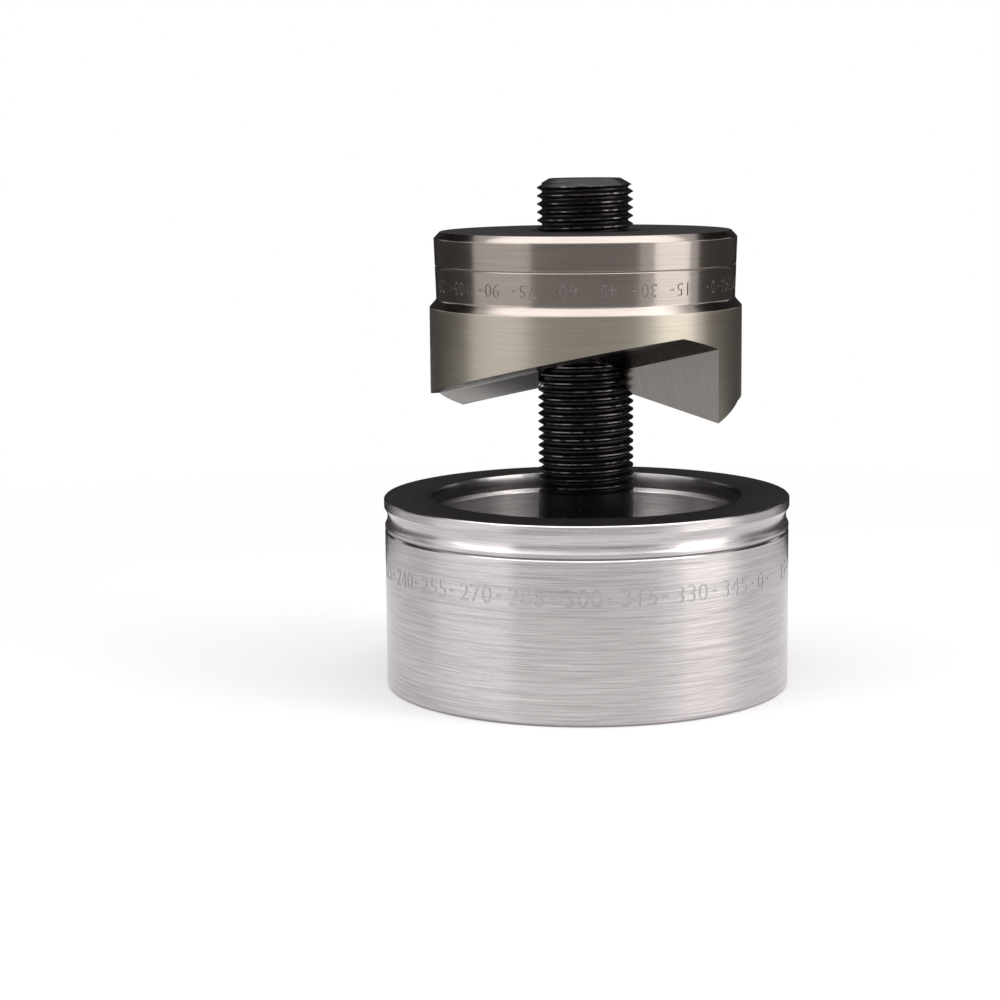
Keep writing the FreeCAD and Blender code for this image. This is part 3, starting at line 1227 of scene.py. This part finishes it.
@dataclass(frozen=True)
class Stage:
    """A pale floor without an edge under a plain white sky, with soft lamps and dark cards.

    Attributes:
        floor_radius: Metres from the axis to the floor's edge, past what is seen.
        floor_colour: Colour of the paper.
        sky: Strength of the sky as a source of light. It is 1 to the eye and in mirrors.
        lift: Glow of the floor to the eye and in mirrors, on top of the light that falls on it.
        fade: Metres from the axis over which the floor turns plain white to the eye.
        lamps: The soft lamps.
        cards: The dark cards.
    """

    floor_radius: float = 6.0
    floor_colour: Colour = (0.86, 0.86, 0.86)
    sky: float = 0.25
    lift: float = 0.12
    fade: tuple[float, float] = (0.10, 0.34)
    lamps: tuple[SoftBox, ...] = (
        SoftBox("right_softbox", bearing=67.0, distance=0.40, height=0.31,
                width=0.22, tall=0.60, power=0.74, colour=(1.0, 0.97, 0.94)),
        SoftBox("left_softbox", bearing=-62.0, distance=1.0, height=0.45,
                width=0.7, tall=0.6, power=1.7),
        SoftBox("top_softbox", bearing=0.0, distance=0.1, height=1.1,
                width=1.9, tall=1.0, power=13.5),
    )
    cards: tuple[DarkCard, ...] = (
        DarkCard("front_card", bearing=0.0, distance=0.56, width=0.95, tall=0.17,
                 shade=(0.24, 0.21, 0.20)),
        DarkCard("front_mat", bearing=0.0, distance=0.375, width=0.62, tall=0.13, base=0.002,
                 lying=True, shade=(0.13, 0.11, 0.107)),
        *wing("left", bearing=-123.0, flag_bearing=-130.0),
        *wing("right", bearing=124.0, flag_bearing=130.0),
        DarkCard("back_mat", bearing=180.0, distance=0.29, width=0.46, tall=0.34, base=0.002,
                 lying=True, shade=(0.03, 0.027, 0.027)),
        DarkCard("back_card", bearing=180.0, distance=0.50, width=0.80, tall=0.48,
                 shade=(0.04, 0.036, 0.036)),
    )

    def seen(self, wires: Wiring) -> bpy.types.NodeSocket:
        """Gives 1 where the eye looks, straight or in a mirror or through glass, and else 0."""
        path = wires.add("LightPath").outputs
        mirrored = wires.math("MAXIMUM", path["Is Glossy Ray"], path["Is Transmission Ray"])
        return wires.math("MAXIMUM", path["Is Camera Ray"], mirrored)

    def build_sky(self) -> None:
        """Makes the sky: white to the eye and in mirrors, gentler as a source of light."""
        world = bpy.data.worlds.new("white_studio")
        bpy.context.scene.world = world
        world.use_nodes = True
        world.node_tree.nodes.clear()
        wires = Wiring(world.node_tree)
        strength = wires.spread(self.seen(wires), self.sky, 1.0)
        light = wires.add("Background", {"Color": (1.0, 1.0, 1.0, 1.0), "Strength": strength})
        wires.add("OutputWorld", {"Surface": light.outputs[0]})

    def build_floor(self) -> None:
        """Lays the pale floor, which keeps the shadow and is lifted to white where it is lit."""
        bpy.ops.mesh.primitive_circle_add(vertices=96, radius=self.floor_radius, fill_type="NGON")
        floor = bpy.context.object
        floor.name = "pale_floor"
        material, wires = start_material("pale_paper")
        seen = self.seen(wires)
        paper = wires.add("BsdfDiffuse", {"Color": (*self.floor_colour, 1.0)})
        glow = wires.add("Emission", {"Color": (1.0, 1.0, 1.0, 1.0),
                                      "Strength": wires.math("MULTIPLY", seen, self.lift)})
        near = wires.add("AddShader", {0: paper.outputs[0], 1: glow.outputs[0]})
        white = wires.add("Emission", {"Color": (1.0, 1.0, 1.0, 1.0), "Strength": 1.0})
        place = wires.add("TexCoord").outputs["Object"]
        away = wires.add("VectorMath", {0: place}, operation="LENGTH").outputs["Value"]
        far = wires.add("MapRange", {"Value": away, "From Min": self.fade[0],
                                     "From Max": self.fade[1]},
                        interpolation_type="SMOOTHSTEP").outputs["Result"]
        floor_shader = wires.add("MixShader", {0: wires.math("MULTIPLY", seen, far),
                                               1: near.outputs[0], 2: white.outputs[0]})
        wires.add("OutputMaterial", {"Surface": floor_shader.outputs[0]})
        floor.data.materials.append(material)

    def build(self) -> None:
        """Builds the sky, the floor, the lamps and the cards."""
        bpy.context.scene.view_settings.view_transform = "Standard"
        self.build_sky()
        self.build_floor()
        for lamp in self.lamps:
            lamp.build()
        for card in self.cards:
            card.build()


def main() -> None:
    """Builds the pieces, then the stage and the camera."""
    logging.basicConfig(level=logging.INFO, format="%(name)s: %(message)s")
    thread = Thread()
    Die().build()
    Punch().build(thread)
    DrawStud().build(thread)
    Stage().build()
    Camera().build()


if __name__ == "__main__":
    main()
